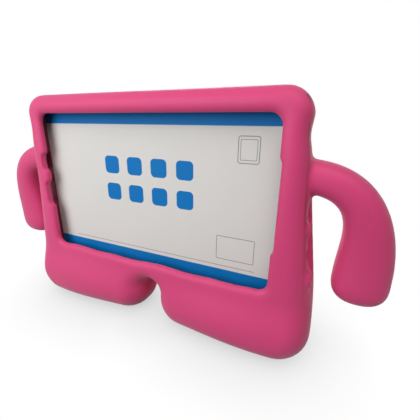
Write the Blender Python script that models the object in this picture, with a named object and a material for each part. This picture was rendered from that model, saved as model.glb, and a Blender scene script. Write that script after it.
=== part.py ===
"""Kids tablet case: one moulded foam bumper that stands on two feet and is carried by two arms.

The case is one piece of soft closed-cell foam. A rounded frame holds a tablet in a pocket
behind a thin lip. Below the window the body swells into two feet with an arch between them,
and an arm comes out of each side, curves over and hangs down. A printed card lies in the
pocket in place of the tablet.

Everything is modelled in the frame of the face: x to the viewer's right, y into the case
with 0 at the front of the card, z up along the face. The empty standing_pose then leans the
face back, and the soles are cut level with the floor.
"""
import math

import bmesh
import bpy
import numpy as np
from mathutils import Vector

MM = 0.001

# Card and pocket
CARD_WIDTH = 210 * MM
CARD_HEIGHT = 124 * MM
CARD_THICKNESS = 0.8 * MM
CARD_CORNER = 5 * MM
SEAT_GAP = 0.3 * MM
POCKET_PLAY = 1.7 * MM
POCKET_DEPTH = 8 * MM
POCKET_CORNER = 6 * MM

# Window and lip
LIP_COVER_SIDE = 8 * MM
LIP_COVER_TOP = 3.7 * MM
LIP_COVER_BOTTOM = 6.8 * MM
WINDOW_CORNER = 7 * MM
LIP_THICKNESS = 6 * MM
LIP_NOSE = 2.5 * MM
LIP_ROUND = 4.5 * MM
LIP_TUCK = 1.2 * MM

# Outline of the body on the face
SILL_HEIGHT = 55.5 * MM
FRAME_TOP = 15 * MM
FRAME_SIDE = 16.1 * MM
FRAME_CORNER = 16.5 * MM
FOOT_SPREAD = 15.1 * MM
FOOT_CORNER = 25 * MM
SPREAD_TOP = 172 * MM
SPREAD_FOOT = 24 * MM
SIDE_DIP = 1.6 * MM
SIDE_DIP_HEIGHT = 158 * MM
SIDE_DIP_LENGTH = 8 * MM
ARCH_HEIGHT = 39.4 * MM
ARCH_HALF_WIDTH = 7 * MM
ARCH_TOP = 9.5 * MM
ARCH_FOOT = 23 * MM

# Depth of the body
BACK_WALL = 17 * MM
TOE_BULGE = 6.3 * MM
TOE_MIDDLE = 76 * MM
TOE_TOP = 52 * MM
TOE_LOW = 22 * MM
HEEL_FLARE = 22 * MM
HEEL_TOP = 84 * MM
HEEL_LOW = 12 * MM
VALLEY_HALF_WIDTH = 56 * MM
FRAME_ROUND = 10 * MM
FOOT_ROUND = 18 * MM
ARCH_ROUND = 17 * MM
ARCH_REACH = 64 * MM
BACK_ROUND = 9 * MM
HEEL_ROUND = 14 * MM
EDGE_SHARE = 0.62

# Arms
ARM_HEIGHT = 134 * MM
ARM_GAP = 10.9 * MM
ARM_SINK = 15.1 * MM
ARM_DROP = 67 * MM
ARM_END_LENGTH = 16 * MM
ARM_ROOT_WIDTH = 21 * MM
ARM_END_WIDTH = 34 * MM
ARM_THICKNESS = 23 * MM
ARM_ROOT_DEPTH = 5.5 * MM
ARM_END_DEPTH = 11 * MM
ARM_BEND_POWER = 0.62
ARM_SECTION_POWER = 0.85
ARM_END_POWER = 2.6

# Openings in the walls
PORT_LENGTH = 22 * MM
PORT_WIDTH = 6.5 * MM
PORT_HEIGHT = 102.5 * MM
RECESS_LENGTH = 15 * MM
RECESS_DEPTH = 5 * MM
RECESS_HEIGHT = 130 * MM
SCALLOP_DEPTH = 4 * MM
JACK_RADIUS = 2.6 * MM
JACK_HEIGHT = 83.5 * MM
CAMERA_RADIUS = 7 * MM
CAMERA_FLARE = 4 * MM
CAMERA_INSET = 22 * MM

# Relief in the lip, trough and button covers on the right side
RELIEF_LENGTH = 60 * MM
RELIEF_DEPTH = 1.8 * MM
RELIEF_HEIGHT = 114 * MM
TROUGH_LENGTH = 72 * MM
TROUGH_WIDTH = 11 * MM
TROUGH_DEPTH = 3.6 * MM
TROUGH_HEIGHT = 88 * MM
TROUGH_END_POWER = 4
UPPER_BUTTON_HEIGHT = 101 * MM
UPPER_BUTTON_LENGTH = 11 * MM
LOWER_BUTTON_HEIGHT = 67 * MM
LOWER_BUTTON_LENGTH = 15 * MM
BUTTON_WIDTH = 8 * MM
BUTTON_RISE = 3.2 * MM

# Standing pose
RECLINE = math.radians(10)
SOLE_CUT = 1 * MM
SMOOTH_ANGLE = math.radians(40)

# Points along each stretch of the half loops, and around each arm
TOP_POINTS = 5
CORNER_POINTS = 5
SIDE_POINTS = 12
FOOT_POINTS = 7
SOLE_POINTS = 4
ARCH_POINTS = (5, 2, 6)
ARM_POINTS = 24
BEND_STEPS = 10
END_STEPS = 6
CIRCLE_POINTS = 24
TROUGH_STEPS = 13
TROUGH_POINTS = 16
TIP_FLAT = 0.02
FRONT_STEPS = 5
BACK_STEPS = 3

# Sizes that follow from those above
CARD_BOTTOM = SILL_HEIGHT - LIP_COVER_BOTTOM
POCKET_BOTTOM = CARD_BOTTOM - SEAT_GAP
POCKET_TOP = CARD_BOTTOM + CARD_HEIGHT + POCKET_PLAY
POCKET_HALF_WIDTH = CARD_WIDTH / 2 + POCKET_PLAY
POCKET_FLOOR = CARD_THICKNESS + SEAT_GAP
LIP_BACK = POCKET_FLOOR - POCKET_DEPTH
POCKET_MIDDLE = (LIP_BACK + POCKET_FLOOR) / 2
RIDGE = LIP_BACK - LIP_THICKNESS
WINDOW_HALF_WIDTH = CARD_WIDTH / 2 - LIP_COVER_SIDE
WINDOW_TOP = CARD_BOTTOM + CARD_HEIGHT - LIP_COVER_TOP
BODY_TOP = WINDOW_TOP + FRAME_TOP
BODY_HALF_WIDTH = WINDOW_HALF_WIDTH + FRAME_SIDE
FOOT_HALF_WIDTH = BODY_HALF_WIDTH + FOOT_SPREAD
BACK_PLANE = POCKET_FLOOR + BACK_WALL
CLEAR = 10 * MM

# Colours
FOAM_PINK = (0.77, 0.07, 0.22, 1)
CARD_WHITE = (0.75, 0.73, 0.71, 1)


def ease(t):
    """Smooth step from 0 to 1, level at both ends."""
    t = np.clip(t, 0, 1)
    return t * t * (3 - 2 * t)


def arc(centre_x, centre_z, radius, start, end, count):
    """Points on an arc without its last point; angles in degrees from +x towards +z."""
    angle = np.radians(np.linspace(start, end, count, endpoint=False))
    return np.column_stack([centre_x + radius * np.cos(angle), centre_z + radius * np.sin(angle)])


def run(start, end, count):
    """Points on a straight run without its last point."""
    share = np.linspace(0, 1, count, endpoint=False)[:, None]
    return np.array(start) * (1 - share) + np.array(end) * share


def both_halves(right):
    """Close a loop from its right half, which goes from the top centre to the bottom centre."""
    left = right[1:-1][::-1] * np.array([-1, 1])
    return np.vstack([right, left])


def rounded_window(half_width, low, high, radius):
    """Rounded rectangle with its points shared out like those of the body's outline."""
    inner = half_width - radius
    share = half_width * ARCH_REACH / WINDOW_HALF_WIDTH
    return both_halves(np.vstack([
        run((0, high), (inner, high), TOP_POINTS),
        arc(inner, high - radius, radius, 90, 0, CORNER_POINTS),
        run((half_width, high - radius), (half_width, low + radius), SIDE_POINTS),
        arc(inner, low + radius, radius, 0, -90, FOOT_POINTS),
        run((inner, low), (share, low), SOLE_POINTS),
        run((share, low), (0, low), sum(ARCH_POINTS)),
        [[0, low]],
    ]))


def side_half_width(z):
    """Half width of the body: it draws in under the frame's corner, then widens to the foot."""
    spread = FOOT_SPREAD * ease((SPREAD_TOP - z) / (SPREAD_TOP - SPREAD_FOOT))
    dip = SIDE_DIP * np.exp(-((z - SIDE_DIP_HEIGHT) / SIDE_DIP_LENGTH) ** 2)
    return BODY_HALF_WIDTH + spread - dip


def arch_side():
    """Inner side of the right foot: a rounded foot corner, a straight side, then a round top."""
    corner_points, side_points, top_points = ARCH_POINTS
    spring = ARCH_HEIGHT - ARCH_TOP
    turn = np.linspace(0, math.pi / 2, top_points, endpoint=False)
    return np.vstack([
        arc(ARCH_HALF_WIDTH + ARCH_FOOT, ARCH_FOOT, ARCH_FOOT, -90, -180, corner_points),
        run((ARCH_HALF_WIDTH, ARCH_FOOT), (ARCH_HALF_WIDTH, spring), side_points),
        np.column_stack([ARCH_HALF_WIDTH * np.cos(turn), spring + ARCH_TOP * np.sin(turn)]),
    ])


def body_outline():
    """Widest loop of the body on the face: frame, sides, feet and the arch between them."""
    corner_z = BODY_TOP - FRAME_CORNER
    side_z = np.linspace(corner_z, FOOT_CORNER, SIDE_POINTS, endpoint=False)
    foot_x = FOOT_HALF_WIDTH - FOOT_CORNER
    arch = arch_side()
    return both_halves(np.vstack([
        run((0, BODY_TOP), (BODY_HALF_WIDTH - FRAME_CORNER, BODY_TOP), TOP_POINTS),
        arc(BODY_HALF_WIDTH - FRAME_CORNER, corner_z, FRAME_CORNER, 90, 0, CORNER_POINTS),
        np.column_stack([side_half_width(side_z), side_z]),
        arc(foot_x, FOOT_CORNER, FOOT_CORNER, 0, -90, FOOT_POINTS),
        run((foot_x, 0), arch[0], SOLE_POINTS),
        arch,
        [[0, ARCH_HEIGHT]],
    ]))


def toe_share(points):
    """0 above the arch, 1 over the middle of each foot, and less again towards its outer side."""
    return np.clip(1 - (np.abs(points[:, 0]) / TOE_MIDDLE - 1) ** 2, 0, 1)


def front_surface(points):
    """Depth of the front: level on the frame, swelling forwards into each toe."""
    drop = ease((TOE_TOP - points[:, 1]) / (TOE_TOP - TOE_LOW))
    return RIDGE - TOE_BULGE * drop * toe_share(points)


def back_surface(points):
    """Depth of the back: level behind the pocket, flaring backwards into each heel."""
    drop = ease((HEEL_TOP - points[:, 1]) / (HEEL_TOP - HEEL_LOW))
    return BACK_PLANE + HEEL_FLARE * drop * ease(np.abs(points[:, 0]) / VALLEY_HALF_WIDTH)


def ring(points, depth):
    """Loop of points in the frame of the face, at one depth or at a depth for each point."""
    return np.column_stack([points[:, 0], np.broadcast_to(depth, len(points)), points[:, 1]])


def edge_rings(outline, inner, surface, radius, steps, outward):
    """Rounded edge between the outline and a face.

    Each point moves square to the outline, on a quarter circle that ends on the face. Its
    radius takes at most a share of the way to the inner loop.
    """
    along = np.roll(outline, -1, axis=0) - np.roll(outline, 1, axis=0)
    inward = np.column_stack([along[:, 1], -along[:, 0]])
    inward /= np.linalg.norm(inward, axis=1)[:, None]
    radius = np.minimum(radius, EDGE_SHARE * np.linalg.norm(inner - outline, axis=1))
    top = outline + inward * radius[:, None]
    rings = []
    for angle in np.linspace(0, math.pi / 2, steps + 1):
        inset = radius * (1 - math.cos(angle))
        depth = surface(top) - outward * radius * (1 - math.sin(angle))
        rings.append(ring(outline + inward * inset[:, None], depth))
    return rings, top


def face_rings(start, end, surface, shares):
    """Loops across a face between two loops, at the depth of its surface."""
    rings = []
    for share in shares:
        points = start + (end - start) * share
        rings.append(ring(points, surface(points)))
    return rings


def body_rings():
    """Loops of the body from the middle of its back, round its edge, to inside the window."""
    outline = body_outline()
    window = rounded_window(WINDOW_HALF_WIDTH, SILL_HEIGHT, WINDOW_TOP, WINDOW_CORNER)
    panel = rounded_window(WINDOW_HALF_WIDTH - BACK_ROUND, HEEL_TOP, WINDOW_TOP - BACK_ROUND,
                           WINDOW_CORNER)
    foot = ease((BODY_TOP - outline[:, 1]) / (BODY_TOP - SILL_HEIGHT))
    apart = ease((np.abs(outline[:, 0]) - ARCH_HALF_WIDTH - ARCH_FOOT) / ARCH_REACH)
    heel_round = ARCH_ROUND + (HEEL_ROUND - ARCH_ROUND) * apart
    foot_round = ARCH_ROUND + (FOOT_ROUND - ARCH_ROUND) * apart
    back_radius = BACK_ROUND + (heel_round - BACK_ROUND) * foot
    front_radius = FRAME_ROUND + (foot_round - FRAME_ROUND) * foot
    back_edge, back_top = edge_rings(outline, panel, back_surface, back_radius, BACK_STEPS, 1)
    front_edge, front_top = edge_rings(outline, window, front_surface, front_radius, FRONT_STEPS, -1)
    outward = outline - window
    outward /= np.linalg.norm(outward, axis=1)[:, None]
    ridge = window + outward * LIP_ROUND
    nose = LIP_BACK - LIP_NOSE
    rings = face_rings(panel, back_top, back_surface, (0, 0.3, 0.55, 0.8))
    rings += back_edge[::-1]
    rings += front_edge
    rings += face_rings(front_top, ridge, front_surface, (0.25, 0.5, 0.75, 1))
    for angle in np.radians((60, 30, 0)):
        points = window + outward * LIP_ROUND * (1 - math.cos(angle))
        rings.append(ring(points, nose + (RIDGE - nose) * math.sin(angle)))
    rings.append(ring(window + outward * LIP_TUCK, LIP_BACK))
    rings.append(ring(window + outward * LIP_TUCK, POCKET_MIDDLE))
    return rings


def arm_line():
    """Centre line of the right arm, and how full its section is at each point.

    It starts inside the frame's side and leaves it level, follows a quarter of a superellipse
    and carries on straight down, a gap away from the side. The section keeps its full size to
    the drop's end, then closes round a blunt tip.
    """
    turn = np.linspace(0, math.pi / 2, BEND_STEPS)
    tip = np.sin(np.linspace(0, math.pi / 2, END_STEPS))[1:]
    root = BODY_HALF_WIDTH - ARM_SINK
    reach = side_half_width(ARM_DROP) + ARM_GAP + ARM_END_WIDTH / 2
    bend_x = root + (reach - root) * np.sin(turn) ** ARM_BEND_POWER
    bend_z = ARM_DROP + (ARM_HEIGHT - ARM_DROP) * np.abs(np.cos(turn)) ** ARM_BEND_POWER
    bend_z[-1] = ARM_DROP
    centre = np.vstack([
        np.column_stack([bend_x, bend_z]),
        np.column_stack([np.full(len(tip), reach), ARM_DROP - ARM_END_LENGTH * tip]),
    ])
    closing = np.maximum(1 - tip ** ARM_END_POWER, TIP_FLAT) ** (1 / ARM_END_POWER)
    return centre, np.append(np.ones(BEND_STEPS), closing)


def arm_rings(side):
    """Loops of one arm, round superellipse sections that widen from the root to the end."""
    centre, fullness = arm_line()
    along = np.gradient(centre, axis=0)
    along /= np.linalg.norm(along, axis=1)[:, None]
    normal = np.column_stack([-along[:, 1], along[:, 0]])
    drop = ease((ARM_HEIGHT - centre[:, 1]) / (ARM_HEIGHT - ARM_DROP))
    half_width = (ARM_ROOT_WIDTH + (ARM_END_WIDTH - ARM_ROOT_WIDTH) * drop) / 2 * fullness
    depth = ARM_ROOT_DEPTH + (ARM_END_DEPTH - ARM_ROOT_DEPTH) * drop
    angle = np.linspace(0, 2 * math.pi, ARM_POINTS, endpoint=False)
    across = np.sign(np.cos(angle)) * np.abs(np.cos(angle)) ** ARM_SECTION_POWER
    inward = np.sign(np.sin(angle)) * np.abs(np.sin(angle)) ** ARM_SECTION_POWER
    rings = []
    for index in range(len(centre)):
        points = centre[index] + half_width[index] * across[:, None] * normal[index]
        loop = ring(points, depth[index] + ARM_THICKNESS / 2 * fullness[index] * inward)
        rings.append(loop * np.array([side, 1, 1]))
    return rings


def solid(name, rings, finish=None):
    """Closed object through a list of loops with as many points each, capped at both ends."""
    count = len(rings[0])
    work = bmesh.new()
    loops = [[work.verts.new(point) for point in loop] for loop in rings]
    for low, high in zip(loops, loops[1:]):
        for index in range(count):
            after = (index + 1) % count
            work.faces.new((low[index], low[after], high[after], high[index]))
    work.faces.new(loops[0])
    work.faces.new(loops[-1])
    bmesh.ops.recalc_face_normals(work, faces=work.faces)
    mesh = bpy.data.meshes.new(name)
    work.to_mesh(mesh)
    work.free()
    thing = bpy.data.objects.new(name, mesh)
    bpy.context.collection.objects.link(thing)
    if finish:
        mesh.materials.append(finish)
        mesh.shade_smooth()
        mesh.set_sharp_from_angle(angle=SMOOTH_ANGLE)
    return thing


def stadium(half_length, half_width, steps=6):
    """Loop with straight sides and round ends: long axis first, then the short axis."""
    end = np.radians(np.linspace(-90, 90, steps + 1))
    reach = half_length - half_width
    right = np.column_stack([reach + half_width * np.cos(end), half_width * np.sin(end)])
    return np.vstack([right, -right])


def side_slot(name, half_length, half_width, height, start, end):
    """Round-ended bar across the case, at mid pocket: it cuts a slot through a side wall."""
    loop = stadium(half_length, half_width)
    rings = []
    for x in (start, end):
        rings.append(np.column_stack([np.full(len(loop), x), POCKET_MIDDLE + loop[:, 1],
                                      height + loop[:, 0]]))
    return solid(name, rings)


def lip_scallop(name, side, bite, length, height):
    """Round-ended bar into the case that takes a shallow bite out of one side of the lip."""
    loop = stadium(length / 2, bite)
    rings = []
    for depth in (RIDGE - CLEAR, POCKET_MIDDLE):
        rings.append(np.column_stack([loop[:, 1] + side * WINDOW_HALF_WIDTH,
                                      np.full(len(loop), depth), height + loop[:, 0]]))
    return solid(name, rings)


def camera_hole():
    """Cone through the back wall, wider at the back, near the card's upper left corner."""
    x = -CARD_WIDTH / 2 + CAMERA_INSET
    z = CARD_BOTTOM + CARD_HEIGHT - CAMERA_INSET
    rings = []
    for depth, share in ((POCKET_MIDDLE, 0), (POCKET_FLOOR, 0), (BACK_PLANE, 1), (BACK_PLANE + CLEAR, 1)):
        loop = arc(x, z, CAMERA_RADIUS + CAMERA_FLARE * share, 0, 360, CIRCLE_POINTS)
        rings.append(ring(loop, depth))
    return solid("camera_hole", rings)


def pocket_space():
    """Room for the tablet behind the lip."""
    loop = rounded_window(POCKET_HALF_WIDTH, POCKET_BOTTOM, POCKET_TOP, POCKET_CORNER)
    return solid("pocket_space", [ring(loop, LIP_BACK), ring(loop, POCKET_FLOOR)])


def button_trough():
    """Long hollow down the right side, with tapered ends, that the button covers stand in."""
    rings = []
    for share in np.linspace(-1, 1, TROUGH_STEPS):
        full = max(1 - abs(share) ** TROUGH_END_POWER, TIP_FLAT)
        height = TROUGH_HEIGHT + share * TROUGH_LENGTH / 2
        loop = arc(0, 0, 1, 0, 360, TROUGH_POINTS)
        rings.append(np.column_stack([
            side_half_width(height) + TROUGH_DEPTH * full * loop[:, 0],
            POCKET_MIDDLE + TROUGH_WIDTH / 2 * full * loop[:, 1],
            np.full(TROUGH_POINTS, height),
        ]))
    return solid("button_trough", rings)


def button_cover(name, height, length):
    """Dome in the trough over one of the tablet's buttons, lower than the trough's sides."""
    work = bmesh.new()
    bmesh.ops.create_uvsphere(work, u_segments=16, v_segments=8, radius=1)
    size = Vector((BUTTON_RISE, BUTTON_WIDTH / 2, length / 2))
    bmesh.ops.scale(work, vec=size, verts=work.verts)
    place = Vector((side_half_width(height) - TROUGH_DEPTH, POCKET_MIDDLE, height))
    bmesh.ops.translate(work, vec=place, verts=work.verts)
    mesh = bpy.data.meshes.new(name)
    work.to_mesh(mesh)
    work.free()
    thing = bpy.data.objects.new(name, mesh)
    bpy.context.collection.objects.link(thing)
    return thing


def floor_block():
    """Everything below the floor, which cuts the soles level. It stands in the room's frame."""
    work = bmesh.new()
    bmesh.ops.create_cube(work, size=1)
    bmesh.ops.scale(work, vec=Vector((4 * FOOT_HALF_WIDTH, 4 * FOOT_HALF_WIDTH, 2 * FOOT_CORNER)),
                    verts=work.verts)
    bmesh.ops.translate(work, vec=Vector((0, 0, -FOOT_CORNER)), verts=work.verts)
    mesh = bpy.data.meshes.new("floor_block")
    work.to_mesh(mesh)
    work.free()
    block = bpy.data.objects.new("floor_block", mesh)
    bpy.context.collection.objects.link(block)
    return block


def combine(target, other, operation):
    """Boolean of the target with a guide object, which the build leaves out."""
    modifier = target.modifiers.new(other.name, "BOOLEAN")
    modifier.operation = operation
    modifier.solver = "EXACT"
    modifier.object = other
    other.hide_render = True
    other.display_type = "WIRE"


def material(name, colour, roughness):
    """Plain shader with the part's colour and finish."""
    finish = bpy.data.materials.new(name)
    finish.use_nodes = True
    shader = finish.node_tree.nodes["Principled BSDF"]
    shader.inputs["Base Color"].default_value = colour
    shader.inputs["Roughness"].default_value = roughness
    shader.inputs["Metallic"].default_value = 0
    return finish


def standing_pose(rings):
    """Empty that leans the face back, sinks the soles to be cut and centres the depth."""
    points = np.vstack(rings)
    room_y = points[:, 1] * math.cos(RECLINE) + points[:, 2] * math.sin(RECLINE)
    room_z = points[:, 2] * math.cos(RECLINE) - points[:, 1] * math.sin(RECLINE)
    toe = room_z[points[:, 1] < 0].min()
    pose = bpy.data.objects.new("standing_pose", None)
    bpy.context.collection.objects.link(pose)
    pose.location = (0, -(room_y.min() + room_y.max()) / 2, -toe - SOLE_CUT)
    pose.rotation_euler = (-RECLINE, 0, 0)
    return pose


def foam_case():
    """The moulded case: body with arms and button covers, less its pocket and openings."""
    rings = body_rings()
    case = solid("foam_case", rings, material("soft_foam", FOAM_PINK, 0.62))
    guides = [(button_trough(), "DIFFERENCE")]
    for name, side in (("left_arm", -1), ("right_arm", 1)):
        guides.append((solid(name, arm_rings(side)), "UNION"))
    guides += [(button_cover("upper_button", UPPER_BUTTON_HEIGHT, UPPER_BUTTON_LENGTH), "UNION"),
               (button_cover("lower_button", LOWER_BUTTON_HEIGHT, LOWER_BUTTON_LENGTH), "UNION")]
    outside = FOOT_HALF_WIDTH + CLEAR
    inside = POCKET_HALF_WIDTH - POCKET_CORNER
    guides += [(thing, "DIFFERENCE") for thing in (
        pocket_space(),
        side_slot("port", PORT_LENGTH / 2, PORT_WIDTH / 2, PORT_HEIGHT, -outside, -inside),
        side_slot("recess", RECESS_LENGTH / 2, PORT_WIDTH / 2, RECESS_HEIGHT,
                  -POCKET_HALF_WIDTH - RECESS_DEPTH, -inside),
        side_slot("jack", JACK_RADIUS, JACK_RADIUS, JACK_HEIGHT, inside, outside),
        lip_scallop("port_scallop", -1, SCALLOP_DEPTH, PORT_LENGTH, PORT_HEIGHT),
        lip_scallop("recess_scallop", -1, SCALLOP_DEPTH, RECESS_LENGTH, RECESS_HEIGHT),
        lip_scallop("button_relief", 1, RELIEF_DEPTH, RELIEF_LENGTH, RELIEF_HEIGHT),
        camera_hole(),
    )]
    for guide, operation in guides:
        combine(case, guide, operation)
    return case, [guide for guide, operation in guides], rings


def insert_card():
    """Printed card that lies on the pocket's floor and stands on its lower wall."""
    loop = rounded_window(CARD_WIDTH / 2, CARD_BOTTOM, CARD_BOTTOM + CARD_HEIGHT, CARD_CORNER)
    rings = [ring(loop, 0), ring(loop, CARD_THICKNESS)]
    return solid("insert_card", rings, material("printed_card", CARD_WHITE, 0.5))


def clear_scene():
    """Start from an empty file."""
    for thing in list(bpy.data.objects):
        bpy.data.objects.remove(thing, do_unlink=True)


def main():
    """Build the case and its card, and stand them on the floor."""
    clear_scene()
    case, guides, rings = foam_case()
    pose = standing_pose(rings)
    for thing in [case, insert_card()] + guides:
        thing.parent = pose
    combine(case, floor_block(), "DIFFERENCE")


main()
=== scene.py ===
"""Looks of the kids tablet case: a moulded foam body with feet and arms, and the card in it.

Lengths are millimetres in the frame of the face until a shape is finished: x to the viewer's
right, y into the case with 0 at the front of the card, z up along the face. stand() leans that
frame back and gives metres in the room.
"""

import math

import bmesh
import bpy
import numpy as np
from mathutils import Matrix, Vector


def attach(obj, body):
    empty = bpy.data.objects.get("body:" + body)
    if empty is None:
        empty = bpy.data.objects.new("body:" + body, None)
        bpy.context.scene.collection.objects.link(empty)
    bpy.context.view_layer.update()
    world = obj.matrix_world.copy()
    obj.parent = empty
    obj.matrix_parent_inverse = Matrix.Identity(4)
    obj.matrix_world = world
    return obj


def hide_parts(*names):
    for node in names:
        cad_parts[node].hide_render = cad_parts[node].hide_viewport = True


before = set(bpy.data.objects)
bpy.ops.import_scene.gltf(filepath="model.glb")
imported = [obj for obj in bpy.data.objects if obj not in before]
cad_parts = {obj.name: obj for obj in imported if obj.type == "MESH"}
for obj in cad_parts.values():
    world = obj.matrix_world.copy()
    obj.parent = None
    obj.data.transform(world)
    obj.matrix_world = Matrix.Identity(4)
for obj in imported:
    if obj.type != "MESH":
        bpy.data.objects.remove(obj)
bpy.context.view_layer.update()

MM = 0.001
RECLINE = math.radians(10)
SHIFT_Y = -16.181
SHIFT_Z = -1.073

# Card and pocket
CARD_WIDTH = 210
CARD_HEIGHT = 124
CARD_BOTTOM = 48.7
POCKET_HALF_WIDTH = 106.7
POCKET_BOTTOM = 48.4
POCKET_TOP = 174.4
POCKET_CORNER = 6
POCKET_FLOOR = 1.1
LIP_BACK = -6.9
POCKET_MIDDLE = -2.9
RIDGE = -12.9

# Print on the card: from near its left edge, and down from the top band
PRINT_LEFT = 104.3
PRINT_TOP = 162
BAND_GAP = 102.7
SQUARE = 14
SQUARE_PITCH = 22
SQUARE_CORNER = 3.5
SQUARES_LEFT = 62
SQUARES_TOP = 24
SQUARE_ROWS = 2
SQUARE_COLUMNS = 4
RULE_DOWN = 99.6
RULE_REACH = (20, 190, 90, 110, 1)
RULE_HALF_WIDTH = 0.22
# Left, right, top, bottom and corner of each thin outline, and half its line's width
OUTLINES = (
    ((174, 188, 6, 23, 1.5), 0.28),
    ((175.6, 186.4, 8, 21, 0.6), 0.2),
    ((161, 189, 76, 94, 0.5), 0.25),
)

# Window and body
WINDOW_HALF_WIDTH = 97
SILL_HEIGHT = 55.5
WINDOW_TOP = 169
WINDOW_CORNER = 7
LIP_NOSE = 2.5
LIP_ROUND = 6.5
LIP_TUCK = 1.2
SILL_WAVE = 1.0
SILL_SWELLS = ((13.5, 0.8, 0.6), (7.1, 0, 0.4))
SILL_FADE = 14
BODY_TOP = 184
BODY_HALF_WIDTH = 113.1
FRAME_CORNER = 16.5
FOOT_SPREAD = 15.1
FOOT_HALF_WIDTH = 128.2
FOOT_CORNER = 25
SPREAD_TOP = 172
SPREAD_FOOT = 24
SIDE_DIP = 1.6
SIDE_DIP_HEIGHT = 158
SIDE_DIP_LENGTH = 8
SIDE_SLOPE = 0.085
ARCH_HEIGHT = 39.4
ARCH_HALF_WIDTH = 7
ARCH_TOP = 9.5
ARCH_FOOT = 23
BACK_PLANE = 18.1
TOE_BULGE = 6.3
TOE_MIDDLE = 76
TOE_TOP = 52
TOE_LOW = 22
HEEL_FLARE = 22
HEEL_TOP = 84
HEEL_LOW = 12
VALLEY_HALF_WIDTH = 56
FRAME_ROUND = 10
FOOT_ROUND = 18
ARCH_ROUND = 17
ARCH_FRONT_ROUND = 21.5
ARCH_REACH = 64
BACK_ROUND = 9
HEEL_ROUND = 14
EDGE_SHARE = 0.62

# Arms
ARM_HEIGHT = 134
ARM_REACH = 153.02
ARM_ROOT = 98
ARM_DROP = 67
ARM_END_LENGTH = 16
ARM_ROOT_WIDTH = 21
ARM_END_WIDTH = 34
ARM_THICKNESS = 23
ARM_ROOT_DEPTH = 5.5
ARM_END_DEPTH = 11
ARM_BEND_POWER = 0.62
ARM_SECTION_POWER = 0.85
ARM_END_POWER = 2.6

# Openings on the left, trough and button covers on the right
PORT_HEIGHT = 102.5
PORT_LENGTH = 22
RECESS_HEIGHT = 130
RECESS_LENGTH = 15
SLOT_HALF_WIDTH = 3.25
SCALLOP_DEPTH = 4
RELIEF_HEIGHT = 114
RELIEF_LENGTH = 60
RELIEF_DEPTH = 1.8
JACK_HEIGHT = 83.5
JACK_RADIUS = 2.6
RECESS_DEPTH = 5
TROUGH_HEIGHT = 88
TROUGH_LENGTH = 72
TROUGH_WIDTH = 11
TROUGH_DEPTH = 3.6
BUTTON_RISE = 3.2
BUTTON_WIDTH = 8
UPPER_BUTTON_HEIGHT = 101
UPPER_BUTTON_LENGTH = 11
LOWER_BUTTON_HEIGHT = 67
LOWER_BUTTON_LENGTH = 15
PAST = 10

# Camera hole in the back
LENS_INSET = 22
LENS_RADIUS = 7
LENS_MOUTH = 11

# Points along each stretch of a half loop
TOP_POINTS = 30
CORNER_POINTS = 14
SIDE_POINTS = 60
FOOT_POINTS = 20
SOLE_POINTS = 24
ARCH_POINTS = (12, 6, 16)
BEND_POINTS = 40
TIP_POINTS = 18
SECTION_POINTS = 72
COVER_POINTS = 40

# Loops across each stretch of the body
BACK_LOOPS = 16
BACK_EDGE_LOOPS = 10
FRONT_EDGE_LOOPS = 14
FRONT_LOOPS = 12
LIP_LOOPS = 8

VOXEL = 1.25 * MM
SOFTENINGS = 9

# Colours
FOAM_LOW = (0.68, 0.052, 0.185, 1)
FOAM_HIGH = (0.76, 0.070, 0.235, 1)
# Painted shade: dark colour laid on the foam inside the pocket and ports, and how much of it is laid on
FOAM_PAINTED_SHADE = (0.16, 0.018, 0.038, 1)
PAINTED_SHADE_SHARE = 0.9
PAPER_LOW = (0.72, 0.705, 0.685, 1)
PAPER_HIGH = (0.80, 0.785, 0.765, 1)
BLUE_LOW = (0.0, 0.165, 0.50, 1)
BLUE_HIGH = (0.0, 0.185, 0.54, 1)
INK = (0.12, 0.12, 0.13, 1)
INK_SHARE = 0.75
WHITE = (1, 1, 1, 1)

# Studio: name, place, size, power and tint of each lamp
FLOOR_REACH = 6
FLOOR_TONE = 0.12
SHADOW_SHARE = 0.5
SHADOW_REACH = 0.05
SKY_LIGHT = 0.02
LAMP_AIM = (0, 0, 0.09)
LAMPS = (
    ("left_lamp", (-0.17, -0.37, 0.33), 0.50, 2.0, (0.97, 1.0, 1.0)),
    ("top_lamp", (0.26, -0.20, 0.68), 0.40, 1.6, (1.0, 0.90, 0.86)),
    ("right_lamp", (0.42, -0.10, 0.40), 0.30, 0.15, (1.0, 0.90, 0.86)),
    ("back_lamp", (-0.25, 0.60, 0.26), 0.50, 3.2, (1.0, 0.97, 0.95)),
)

# Camera: rows of its right, up and backward axes in the frame of the face
SENSOR = 36
PHOTO_WIDTH = 420
FOCAL_PIXELS = 257.0
CAMERA_PLACE = (117.9, -162.5, 159.2)
CAMERA_AXES = (
    (0.92211, 0.38642, 0.01967),
    (-0.13228, 0.26706, 0.95456),
    (0.36360, -0.88281, 0.29738),
)


class Socket:
    """One output of a shader node, or a plain number, that works in Python expressions."""

    def __init__(self, graph, link):
        self.graph = graph
        self.link = link

    def maths(self, operation, *others):
        values = [self.link] + [other.link if isinstance(other, Socket) else other for other in others]
        return self.graph.node("ShaderNodeMath", {"operation": operation}, dict(enumerate(values)))

    def swapped(self, operation, other):
        return self.graph.node("ShaderNodeMath", {"operation": operation}, {0: other, 1: self.link})

    def __add__(self, other):
        return self.maths("ADD", other)

    __radd__ = __add__

    def __mul__(self, other):
        return self.maths("MULTIPLY", other)

    __rmul__ = __mul__

    def __sub__(self, other):
        return self.maths("SUBTRACT", other)

    def __rsub__(self, other):
        return self.swapped("SUBTRACT", other)

    def size(self):
        return self.maths("ABSOLUTE")

    def larger(self, other):
        return self.maths("MAXIMUM", other)

    def smaller(self, other):
        return self.maths("MINIMUM", other)


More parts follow.
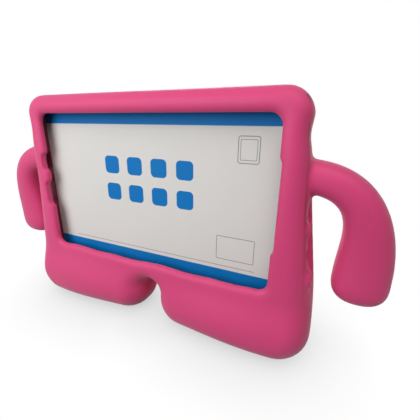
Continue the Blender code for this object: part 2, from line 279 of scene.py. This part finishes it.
class Graph:
    """Node tree of a material or of the world, with one method that makes any node."""

    def __init__(self, owner):
        owner.use_nodes = True
        self.owner = owner
        self.tree = owner.node_tree
        self.shader = self.tree.nodes.get("Principled BSDF")

    def node(self, kind, settings=None, values=None, output=0):
        """Makes a node, sets its settings first, then the values or links of its sockets."""
        made = self.tree.nodes.new(kind)
        for name, setting in (settings or {}).items():
            if name == "stops":
                ramp = made.color_ramp
                while len(ramp.elements) < len(setting):
                    ramp.elements.new(0.5)
                for element, (place, colour) in zip(ramp.elements, setting):
                    element.position = place
                    element.color = colour
            else:
                setattr(made, name, setting)
        for name, value in (values or {}).items():
            value = value.link if isinstance(value, Socket) else value
            if isinstance(value, bpy.types.NodeSocket):
                self.tree.links.new(value, made.inputs[name])
            else:
                made.inputs[name].default_value = value
        return Socket(self, made.outputs[output])

    def place(self):
        """Object coordinates in metres: the frame of the room, because pieces sit at the origin."""
        return self.node("ShaderNodeTexCoord", output="Object")

    def noise(self, place, scale, detail=2.0, roughness=0.5):
        return self.node("ShaderNodeTexNoise", {"noise_dimensions": "3D"},
                         {"Vector": place, "Scale": scale, "Detail": detail, "Roughness": roughness})

    def blend(self, share, low, high):
        """Colour that goes from low to high as the share goes from 0 to 1."""
        return self.node("ShaderNodeMix", {"data_type": "RGBA"}, {0: share, 6: low, 7: high}, output=2)

    def step(self, value, edge, softness):
        """0 below the edge, 1 above it, smooth across the softness."""
        return self.node("ShaderNodeMapRange", {"interpolation_type": "SMOOTHSTEP"},
                         {"Value": value, "From Min": edge - softness / 2, "From Max": edge + softness / 2})

    def face_place(self):
        """Millimetres in the frame of the face: x across, deep into the case and up along it."""
        split = self.node("ShaderNodeSeparateXYZ", None, {0: self.place()})
        x, y, z = (Socket(self, split.link.node.outputs[axis]) * 1000 for axis in range(3))
        y, z = y - SHIFT_Y, z - SHIFT_Z
        deep = y * math.cos(RECLINE) - z * math.sin(RECLINE)
        up = y * math.sin(RECLINE) + z * math.cos(RECLINE)
        return x, deep, up

    def studio_rays(self):
        """1 for the rays that see the white studio: from the camera, a gloss or clear stuff."""
        rays = self.node("ShaderNodeLightPath").link.node.outputs
        camera_ray, gloss_ray, clear_ray = (
            Socket(self, rays[name]) for name in ("Is Camera Ray", "Is Glossy Ray", "Is Transmission Ray"))
        return camera_ray.larger(gloss_ray).larger(clear_ray)

    def end_with(self, mix, output):
        """Joins the last shader to the tree's output."""
        self.tree.links.new(mix.link, self.tree.nodes[output].inputs["Surface"])

    def feed(self, name, value):
        """Links a varying value to the shader, or sets a constant on the shader's own socket."""
        if isinstance(value, Socket):
            self.tree.links.new(value.link, self.shader.inputs[name])
        else:
            self.shader.inputs[name].default_value = value


def ease(t):
    """Smooth step from 0 to 1: t squared times 3 less 2 t."""
    t = np.clip(t, 0, 1)
    return t * t * (3 - 2 * t)


def arc(centre_x, centre_z, radius, start, end, count):
    """Circle points from start to end in degrees, without the last."""
    angle = np.radians(np.linspace(start, end, count, endpoint=False))
    return np.column_stack([centre_x + radius * np.cos(angle), centre_z + radius * np.sin(angle)])


def run(start, end, count):
    """Straight points from start to end, without the last."""
    share = np.linspace(0, 1, count, endpoint=False)[:, None]
    return np.array(start) * (1 - share) + np.array(end) * share


def both_halves(right):
    """Closed loop from its right half, which goes from the top centre to the bottom centre."""
    return np.vstack([right, right[1:-1][::-1] * np.array([-1, 1])])


def rounded_window(half_width, low, high, radius):
    """Rounded rectangle whose points are shared out like those of the body's outline."""
    inner = half_width - radius
    share = half_width * ARCH_REACH / WINDOW_HALF_WIDTH
    return both_halves(np.vstack([
        run((0, high), (inner, high), TOP_POINTS),
        arc(inner, high - radius, radius, 90, 0, CORNER_POINTS),
        run((half_width, high - radius), (half_width, low + radius), SIDE_POINTS),
        arc(inner, low + radius, radius, 0, -90, FOOT_POINTS),
        run((inner, low), (share, low), SOLE_POINTS),
        run((share, low), (0, low), sum(ARCH_POINTS)),
        [[0, low]],
    ]))


def side_half_width(z):
    """Half width of the body: frame plus the eased spread of the feet, less a bell-shaped dip."""
    spread = FOOT_SPREAD * ease((SPREAD_TOP - z) / (SPREAD_TOP - SPREAD_FOOT))
    dip = SIDE_DIP * np.exp(-((z - SIDE_DIP_HEIGHT) / SIDE_DIP_LENGTH) ** 2)
    return BODY_HALF_WIDTH + spread - dip


def arch_side():
    """Inner side of a foot: a quarter-circle corner, a straight side, then a quarter ellipse."""
    corner_points, side_points, top_points = ARCH_POINTS
    spring = ARCH_HEIGHT - ARCH_TOP
    turn = np.linspace(0, math.pi / 2, top_points, endpoint=False)
    return np.vstack([
        arc(ARCH_HALF_WIDTH + ARCH_FOOT, ARCH_FOOT, ARCH_FOOT, -90, -180, corner_points),
        run((ARCH_HALF_WIDTH, ARCH_FOOT), (ARCH_HALF_WIDTH, spring), side_points),
        np.column_stack([ARCH_HALF_WIDTH * np.cos(turn), spring + ARCH_TOP * np.sin(turn)]),
    ])


def body_outline():
    """Widest loop of the body on the face: frame, sides, feet and the arch between them."""
    corner_z = BODY_TOP - FRAME_CORNER
    side_z = np.linspace(corner_z, FOOT_CORNER, SIDE_POINTS, endpoint=False)
    foot_x = FOOT_HALF_WIDTH - FOOT_CORNER
    arch = arch_side()
    return both_halves(np.vstack([
        run((0, BODY_TOP), (BODY_HALF_WIDTH - FRAME_CORNER, BODY_TOP), TOP_POINTS),
        arc(BODY_HALF_WIDTH - FRAME_CORNER, corner_z, FRAME_CORNER, 90, 0, CORNER_POINTS),
        np.column_stack([side_half_width(side_z), side_z]),
        arc(foot_x, FOOT_CORNER, FOOT_CORNER, 0, -90, FOOT_POINTS),
        run((foot_x, 0), arch[0], SOLE_POINTS),
        arch,
        [[0, ARCH_HEIGHT]],
    ]))


def front_surface(points):
    """Depth of the front: the ridge, less a toe that is a parabola across each foot."""
    drop = ease((TOE_TOP - points[:, 1]) / (TOE_TOP - TOE_LOW))
    share = np.clip(1 - (np.abs(points[:, 0]) / TOE_MIDDLE - 1) ** 2, 0, 1)
    return RIDGE - TOE_BULGE * drop * share


def back_surface(points):
    """Depth of the back: its plane, plus the heel's flare eased in below the pocket."""
    drop = ease((HEEL_TOP - points[:, 1]) / (HEEL_TOP - HEEL_LOW))
    return BACK_PLANE + HEEL_FLARE * drop * ease(np.abs(points[:, 0]) / VALLEY_HALF_WIDTH)


def ring(points, depth):
    """Loop of points at one depth, or at a depth for each point."""
    return np.column_stack([points[:, 0], np.broadcast_to(depth, len(points)), points[:, 1]])


def edge_rings(outline, inner, surface, radius, steps, outward):
    """Quarter circle from the outline to a face, square to the outline all the way round."""
    along = np.roll(outline, -1, axis=0) - np.roll(outline, 1, axis=0)
    inward = np.column_stack([along[:, 1], -along[:, 0]])
    inward /= np.linalg.norm(inward, axis=1)[:, None]
    radius = np.minimum(radius, EDGE_SHARE * np.linalg.norm(inner - outline, axis=1))
    top = outline + inward * radius[:, None]
    rings = []
    for angle in np.linspace(0, math.pi / 2, steps + 1):
        inset = radius * (1 - math.cos(angle))
        depth = surface(top) - outward * radius * (1 - math.sin(angle))
        rings.append(ring(outline + inward * inset[:, None], depth))
    return rings, top


def face_rings(start, end, surface, shares):
    """Loops between two loops, at the depth of their surface."""
    return [ring(start + (end - start) * share, surface(start + (end - start) * share)) for share in shares]


def body_rings():
    """Loops from the middle of the back, round the edge and over the lip, into the pocket."""
    outline = body_outline()
    window = rounded_window(WINDOW_HALF_WIDTH, SILL_HEIGHT, WINDOW_TOP, WINDOW_CORNER)
    low = window[:, 1] < SILL_HEIGHT + WINDOW_CORNER
    wave = sum(share * np.sin(window[:, 0] / length + phase) for length, phase, share in SILL_SWELLS)
    fade = np.clip((WINDOW_HALF_WIDTH - np.abs(window[:, 0])) / SILL_FADE, 0, 1)
    window[:, 1] += SILL_WAVE * wave * low * fade
    panel = rounded_window(WINDOW_HALF_WIDTH - BACK_ROUND, HEEL_TOP, WINDOW_TOP - BACK_ROUND, WINDOW_CORNER)
    foot = ease((BODY_TOP - outline[:, 1]) / (BODY_TOP - SILL_HEIGHT))
    apart = ease((np.abs(outline[:, 0]) - ARCH_HALF_WIDTH - ARCH_FOOT) / ARCH_REACH)
    heel_round = ARCH_ROUND + (HEEL_ROUND - ARCH_ROUND) * apart
    foot_round = ARCH_FRONT_ROUND + (FOOT_ROUND - ARCH_FRONT_ROUND) * apart
    back_radius = BACK_ROUND + (heel_round - BACK_ROUND) * foot
    front_radius = FRAME_ROUND + (foot_round - FRAME_ROUND) * foot
    back_edge, back_top = edge_rings(outline, panel, back_surface, back_radius, BACK_EDGE_LOOPS, 1)
    front_edge, front_top = edge_rings(outline, window, front_surface, front_radius, FRONT_EDGE_LOOPS, -1)
    outward = outline - window
    outward /= np.linalg.norm(outward, axis=1)[:, None]
    ridge = window + outward * LIP_ROUND
    nose = LIP_BACK - LIP_NOSE
    rings = face_rings(panel, back_top, back_surface, np.linspace(0, 0.94, BACK_LOOPS))
    rings += back_edge[::-1]
    rings += front_edge
    rings += face_rings(front_top, ridge, front_surface, np.linspace(0.08, 1, FRONT_LOOPS))
    for angle in np.radians(np.linspace(80, 0, LIP_LOOPS)):
        points = window + outward * LIP_ROUND * (1 - math.cos(angle))
        rings.append(ring(points, nose + (RIDGE - nose) * math.sin(angle)))
    rings.append(ring(window + outward * LIP_TUCK, LIP_BACK))
    rings.append(ring(window + outward * LIP_TUCK, POCKET_MIDDLE))
    return rings


def arm_rings(side):
    """Superellipse sections along a superelliptic quarter bend, then a straight blunt drop."""
    turn = np.linspace(0, math.pi / 2, BEND_POINTS)
    tip = np.sin(np.linspace(0, math.pi / 2, TIP_POINTS))[1:]
    bend_x = ARM_ROOT + (ARM_REACH - ARM_ROOT) * np.sin(turn) ** ARM_BEND_POWER
    bend_z = ARM_DROP + (ARM_HEIGHT - ARM_DROP) * np.abs(np.cos(turn)) ** ARM_BEND_POWER
    bend_z[-1] = ARM_DROP
    centre = np.vstack([
        np.column_stack([bend_x, bend_z]),
        np.column_stack([np.full(len(tip), ARM_REACH), ARM_DROP - ARM_END_LENGTH * tip]),
    ])
    closing = np.maximum(1 - tip ** ARM_END_POWER, 0.02) ** (1 / ARM_END_POWER)
    full = np.append(np.ones(len(turn)), closing)
    along = np.gradient(centre, axis=0)
    along /= np.linalg.norm(along, axis=1)[:, None]
    normal = np.column_stack([-along[:, 1], along[:, 0]])
    drop = ease((ARM_HEIGHT - centre[:, 1]) / (ARM_HEIGHT - ARM_DROP))
    half_width = (ARM_ROOT_WIDTH + (ARM_END_WIDTH - ARM_ROOT_WIDTH) * drop) / 2 * full
    depth = ARM_ROOT_DEPTH + (ARM_END_DEPTH - ARM_ROOT_DEPTH) * drop
    angle = np.linspace(0, 2 * math.pi, SECTION_POINTS, endpoint=False)
    across = np.sign(np.cos(angle)) * np.abs(np.cos(angle)) ** ARM_SECTION_POWER
    inward = np.sign(np.sin(angle)) * np.abs(np.sin(angle)) ** ARM_SECTION_POWER
    rings = []
    for index in range(len(centre)):
        points = centre[index] + half_width[index] * across[:, None] * normal[index]
        loop = ring(points, depth[index] + ARM_THICKNESS / 2 * full[index] * inward)
        rings.append(loop * np.array([side, 1, 1]))
    return rings


def stand(points):
    """From millimetres in the frame of the face to metres in the room."""
    x, y, z = points[:, 0], points[:, 1], points[:, 2]
    room_y = y * math.cos(RECLINE) + z * math.sin(RECLINE) + SHIFT_Y
    room_z = z * math.cos(RECLINE) - y * math.sin(RECLINE) + SHIFT_Z
    return np.column_stack([x, room_y, room_z]) * MM


def loft(name, rings):
    """Closed mesh object in the room through loops with as many points each."""
    count = len(rings[0])
    points = stand(np.vstack(rings))
    row = np.arange(len(rings) - 1)[:, None] * count
    at = np.arange(count)[None, :]
    after = (at + 1) % count
    quads = np.stack([row + at, row + after, row + count + after, row + count + at], axis=-1)
    faces = quads.reshape(-1, 4).tolist()
    faces.append(list(range(count)))
    faces.append(list(range(len(points) - count, len(points))))
    mesh = bpy.data.meshes.new(name)
    mesh.from_pydata(points.tolist(), [], faces)
    work = bmesh.new()
    work.from_mesh(mesh)
    bmesh.ops.recalc_face_normals(work, faces=work.faces)
    work.to_mesh(mesh)
    work.free()
    thing = bpy.data.objects.new(name, mesh)
    bpy.context.collection.objects.link(thing)
    return thing


def stadium(half_length, half_width):
    """Loop with straight sides and half-circle ends: long axis first, then the short axis."""
    end = np.radians(np.linspace(-90, 90, 15))
    reach = half_length - half_width
    right = np.column_stack([reach + half_width * np.cos(end), half_width * np.sin(end)])
    return np.vstack([right, -right])


def side_slot(name, half_length, half_width, height, start, end):
    """Stadium carried across the case at mid pocket, to cut a slot through a side wall."""
    loop = stadium(half_length, half_width)
    y = POCKET_MIDDLE + loop[:, 1]
    z = height + loop[:, 0]
    return loft(name, [np.column_stack([np.full(len(loop), x), y, z]) for x in (start, end)])


def lip_scallop(name, side, bite, length, height):
    """Stadium carried from before the ridge into the pocket: a shallow bite out of one side."""
    loop = stadium(length / 2, bite)
    outline = np.column_stack([loop[:, 1] + side * WINDOW_HALF_WIDTH, height + loop[:, 0]])
    return loft(name, [ring(outline, depth) for depth in (RIDGE - PAST, POCKET_MIDDLE)])


def button_trough():
    """Ellipse carried down the right wall, fuller by one less the fourth power of its way."""
    rings = []
    for share in np.linspace(-1, 1, 41):
        full = max(1 - share ** 4, 0.02)
        height = TROUGH_HEIGHT + share * TROUGH_LENGTH / 2
        loop = arc(0, 0, 1, 0, 360, COVER_POINTS)
        rings.append(np.column_stack([side_half_width(height) + TROUGH_DEPTH * full * loop[:, 0],
                                      POCKET_MIDDLE + TROUGH_WIDTH / 2 * full * loop[:, 1],
                                      np.full(COVER_POINTS, height)]))
    return loft("button_trough", rings)


def button_cover(name, height, length):
    """Ellipsoid in the trough: circles of latitude scaled by the sine of their angle."""
    rings = []
    turn = np.linspace(0, 2 * math.pi, COVER_POINTS, endpoint=False)
    for angle in np.linspace(0.06, math.pi - 0.06, 21):
        across = np.sin(angle)
        rings.append(np.column_stack([
            np.full(COVER_POINTS, side_half_width(height) - TROUGH_DEPTH + BUTTON_RISE * math.cos(angle)),
            POCKET_MIDDLE + BUTTON_WIDTH / 2 * across * np.cos(turn),
            height + length / 2 * across * np.sin(turn),
        ]))
    return loft(name, rings)


def camera_hole():
    """Cone through the back wall, near the card's upper left corner."""
    x = LENS_INSET - CARD_WIDTH / 2
    z = CARD_BOTTOM + CARD_HEIGHT - LENS_INSET
    rings = []
    for depth, radius in ((POCKET_MIDDLE, LENS_RADIUS), (POCKET_FLOOR, LENS_RADIUS),
                          (BACK_PLANE, LENS_MOUTH), (BACK_PLANE + PAST, LENS_MOUTH)):
        rings.append(ring(arc(x, z, radius, 0, 360, 48), depth))
    return loft("camera_hole", rings)


def pocket_space():
    """Rounded rectangle carried from behind the lip to the pocket's floor."""
    loop = rounded_window(POCKET_HALF_WIDTH, POCKET_BOTTOM, POCKET_TOP, POCKET_CORNER)
    return loft("pocket_space", [ring(loop, LIP_BACK), ring(loop, POCKET_FLOOR)])


def applied(thing, name):
    """New object at the origin with the thing's modifiers worked into its mesh."""
    graph = bpy.context.evaluated_depsgraph_get()
    mesh = bpy.data.meshes.new_from_object(thing.evaluated_get(graph))
    made = bpy.data.objects.new(name, mesh)
    bpy.context.collection.objects.link(made)
    return made


def foam_body():
    """The moulding: body with arms and button covers, less its openings, melted into one skin.

    The voxel remesh rounds every cut edge by about its own size, as a mould does, and a few
    rounds of smoothing take its facets out. The soles are pressed flat on the floor.
    """
    body = loft("body_form", body_rings())
    outside = FOOT_HALF_WIDTH + PAST
    inside = POCKET_HALF_WIDTH - POCKET_CORNER
    guides = [(button_trough(), "DIFFERENCE"),
              (loft("left_arm", arm_rings(-1)), "UNION"), (loft("right_arm", arm_rings(1)), "UNION"),
              (button_cover("upper_button", UPPER_BUTTON_HEIGHT, UPPER_BUTTON_LENGTH), "UNION"),
              (button_cover("lower_button", LOWER_BUTTON_HEIGHT, LOWER_BUTTON_LENGTH), "UNION")]
    guides += [(thing, "DIFFERENCE") for thing in (
        pocket_space(),
        side_slot("port", PORT_LENGTH / 2, SLOT_HALF_WIDTH, PORT_HEIGHT, -outside, -inside),
        side_slot("recess", RECESS_LENGTH / 2, SLOT_HALF_WIDTH, RECESS_HEIGHT,
                  -POCKET_HALF_WIDTH - RECESS_DEPTH, -inside),
        side_slot("jack", JACK_RADIUS, JACK_RADIUS, JACK_HEIGHT, inside, outside),
        lip_scallop("port_scallop", -1, SCALLOP_DEPTH, PORT_LENGTH, PORT_HEIGHT),
        lip_scallop("recess_scallop", -1, SCALLOP_DEPTH, RECESS_LENGTH, RECESS_HEIGHT),
        lip_scallop("button_relief", 1, RELIEF_DEPTH, RELIEF_LENGTH, RELIEF_HEIGHT),
        camera_hole(),
    )]
    for guide, operation in guides:
        modifier = body.modifiers.new(guide.name, "BOOLEAN")
        modifier.operation = operation
        modifier.solver = "EXACT"
        modifier.object = guide
    remesh = body.modifiers.new("melt", "REMESH")
    remesh.mode = "VOXEL"
    remesh.voxel_size = VOXEL
    smooth = body.modifiers.new("soften", "SMOOTH")
    smooth.factor = 0.5
    smooth.iterations = SOFTENINGS
    skin = applied(body, "foam_skin")
    for thing in [body] + [guide for guide, operation in guides]:
        bpy.data.objects.remove(thing, do_unlink=True)
    points = np.empty(len(skin.data.vertices) * 3, dtype=np.float32)
    skin.data.vertices.foreach_get("co", points)
    points = points.reshape(-1, 3)
    points[:, 2] = np.maximum(points[:, 2], 0)
    skin.data.vertices.foreach_set("co", points.ravel())
    skin.data.shade_smooth()
    skin.data.update()
    return skin


def foam_material():
    """Pink moulded foam: slow colour drift, a fine pebbled skin and faint larger unevenness.

    Painted shade darkens its colour inside the pocket and the ports, where shade falls: behind the lip,
    before the pocket's floor, and within the side walls, which stand wider apart the lower they are.
    """
    foam = Graph(bpy.data.materials.new("moulded_foam"))
    place = foam.place()
    drift = foam.noise(place, 14, 2)
    grain = foam.noise(place, 1500, 3, 0.6)
    ripple = foam.noise(place, 55, 2, 0.45)
    shade = drift * 0.7 + grain * 0.3
    colour = foam.blend(shade, FOAM_LOW, FOAM_HIGH)
    x, deep, up = foam.face_place()
    # Painted shade: mask of the pocket and port walls, where the foam is darkened as if in shadow
    inside = foam.step(deep, LIP_BACK - 1, 2) * (1 - foam.step(deep, POCKET_FLOOR - 0.5, 1))
    inside = inside * foam.step(up, POCKET_BOTTOM - 3, 3) * (1 - foam.step(up, POCKET_TOP + 4, 3))
    inside = inside * (1 - foam.step(x.size() + (up - SPREAD_TOP) * SIDE_SLOPE, BODY_HALF_WIDTH - 3, 3))
    # Lays the painted shade into the foam's colour
    colour = foam.blend(inside * PAINTED_SHADE_SHARE, colour, FOAM_PAINTED_SHADE)
    height = grain * 0.00006 + ripple * 0.00035
    bump = foam.node("ShaderNodeBump", None, {"Strength": 0.55, "Distance": 1.0, "Height": height})
    foam.feed("Base Color", colour)
    foam.feed("Roughness", foam.noise(place, 220, 3) * 0.16 + 0.42)
    foam.feed("Normal", bump)
    foam.feed("Specular IOR Level", 0.3)
    foam.feed("Sheen Weight", 0.12)
    foam.feed("Sheen Roughness", 0.5)
    return foam.owner


def card_material():
    """White card with blue bands, a hairline, two plain outlines and rounded squares.

    Every mark is a distance on the card in millimetres: x from near its left edge and d down
    from the top band's lower edge, worked out by turning the room's coordinates upright.
    """
    card = Graph(bpy.data.materials.new("printed_card"))
    face_x, deep, up = card.face_place()
    x = face_x + PRINT_LEFT
    d = PRINT_TOP - up

    def slab(left, right, top, bottom, corner):
        """Signed distance to a rounded rectangle: negative inside."""
        across = (x - (left + right) / 2).size() - ((right - left) / 2 - corner)
        down = (d - (top + bottom) / 2).size() - ((bottom - top) / 2 - corner)
        ax, ay = across.larger(0), down.larger(0)
        far = (ax * ax + ay * ay).maths("SQRT")
        return far + across.larger(down).smaller(0) - corner

    def filled(distance):
        return 1 - card.step(distance, 0, 0.25)

    def outlined(distance, half_width):
        return 1 - card.step(distance.size(), half_width, 0.2)

    blue = card.step(0 - d, 0, 0.25).larger(card.step(d, BAND_GAP, 0.25))
    for row in range(SQUARE_ROWS):
        for column in range(SQUARE_COLUMNS):
            left = SQUARES_LEFT + SQUARE_PITCH * column
            top = SQUARES_TOP + SQUARE_PITCH * row
            blue = blue.larger(filled(slab(left, left + SQUARE, top, top + SQUARE, SQUARE_CORNER)))
    ink = outlined(d - RULE_DOWN, RULE_HALF_WIDTH) * filled(slab(*RULE_REACH))
    for sides, half_width in OUTLINES:
        ink = ink.larger(outlined(slab(*sides), half_width))
    fibre = card.noise(card.place(), 900, 3, 0.6)
    cloud = card.noise(card.place(), 25, 2)
    paper = card.blend(fibre * 0.5 + cloud * 0.5, PAPER_LOW, PAPER_HIGH)
    print_blue = card.blend(cloud, BLUE_LOW, BLUE_HIGH)
    colour = card.blend(blue, paper, print_blue)
    colour = card.blend(ink * INK_SHARE, colour, INK)
    card.feed("Base Color", colour)
    card.feed("Roughness", 0.6 - blue * 0.05 + fibre * 0.06)
    card.feed("Specular IOR Level", 0.2)
    card.feed("Normal", card.node("ShaderNodeBump", None, {"Strength": 0.25, "Distance": 1.0,
                                                            "Height": fibre * 0.00003}))
    return card.owner


def pale_floor():
    """Flat floor, white to the camera, dimmed where open sky is hidden: the object's shadow."""
    mesh = bpy.data.meshes.new("floor")
    reach = FLOOR_REACH
    corners = [(-reach, -reach, 0), (reach, -reach, 0), (reach, reach, 0), (-reach, reach, 0)]
    mesh.from_pydata(corners, [], [(0, 1, 2, 3)])
    floor = bpy.data.objects.new("floor", mesh)
    bpy.context.collection.objects.link(floor)
    pale = Graph(bpy.data.materials.new("pale_floor"))
    pale.feed("Base Color", (FLOOR_TONE, FLOOR_TONE, FLOOR_TONE, 1))
    pale.feed("Roughness", 0.9)
    open_sky = pale.node("ShaderNodeAmbientOcclusion", {"samples": 16}, {"Distance": SHADOW_REACH}, "AO")
    white = pale.node("ShaderNodeEmission", None, {"Color": WHITE, "Strength": 1.0})
    share = pale.studio_rays() * (1 - (1 - open_sky) * SHADOW_SHARE)
    mix = pale.node("ShaderNodeMixShader", None, {0: share, 1: pale.shader.outputs[0], 2: white})
    pale.end_with(mix, "Material Output")
    mesh.materials.append(pale.owner)


def white_studio():
    """World that is white to the camera and in reflections, and almost dark as a light."""
    world = bpy.data.worlds.new("studio")
    bpy.context.scene.world = world
    studio = Graph(world)
    dim = studio.node("ShaderNodeBackground", None, {"Color": WHITE, "Strength": SKY_LIGHT})
    white = studio.node("ShaderNodeBackground", None, {"Color": WHITE, "Strength": 1.0})
    mix = studio.node("ShaderNodeMixShader", None, {0: studio.studio_rays(), 1: dim, 2: white})
    studio.end_with(mix, "World Output")


def soft_lamps():
    """Round soft lamps that aim at the middle of the case."""
    for name, place, size, power, tint in LAMPS:
        lamp = bpy.data.lights.new(name, "AREA")
        lamp.shape = "DISK"
        lamp.size = size
        lamp.energy = power
        lamp.color = tint
        thing = bpy.data.objects.new(name, lamp)
        bpy.context.collection.objects.link(thing)
        thing.location = place
        aim = Vector(LAMP_AIM) - Vector(place)
        thing.rotation_mode = "QUATERNION"
        thing.rotation_quaternion = aim.to_track_quat("-Z", "Y")


def camera():
    """Camera fitted to the photo: its axes are turned by the lean, and its place stands up."""
    lens = bpy.data.cameras.new("camera")
    lens.sensor_width = SENSOR
    lens.lens = FOCAL_PIXELS / PHOTO_WIDTH * SENSOR
    lens.clip_start = 0.01
    thing = bpy.data.objects.new("camera", lens)
    bpy.context.collection.objects.link(thing)
    lean = np.array([[1, 0, 0],
                     [0, math.cos(RECLINE), math.sin(RECLINE)],
                     [0, -math.sin(RECLINE), math.cos(RECLINE)]])
    turned = Matrix((lean @ np.array(CAMERA_AXES).T).tolist()).to_4x4()
    turned.translation = Vector(stand(np.array([CAMERA_PLACE]))[0].tolist())
    thing.matrix_world = turned
    bpy.context.scene.camera = thing


skin = foam_body()
skin.data.materials.clear()
skin.data.materials.append(foam_material())
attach(skin, "root")
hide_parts("foam_case")

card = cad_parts["insert_card"]
card.data.materials.clear()
card.data.materials.append(card_material())

pale_floor()
white_studio()
soft_lamps()
camera()
bpy.context.scene.view_settings.view_transform = "Standard"
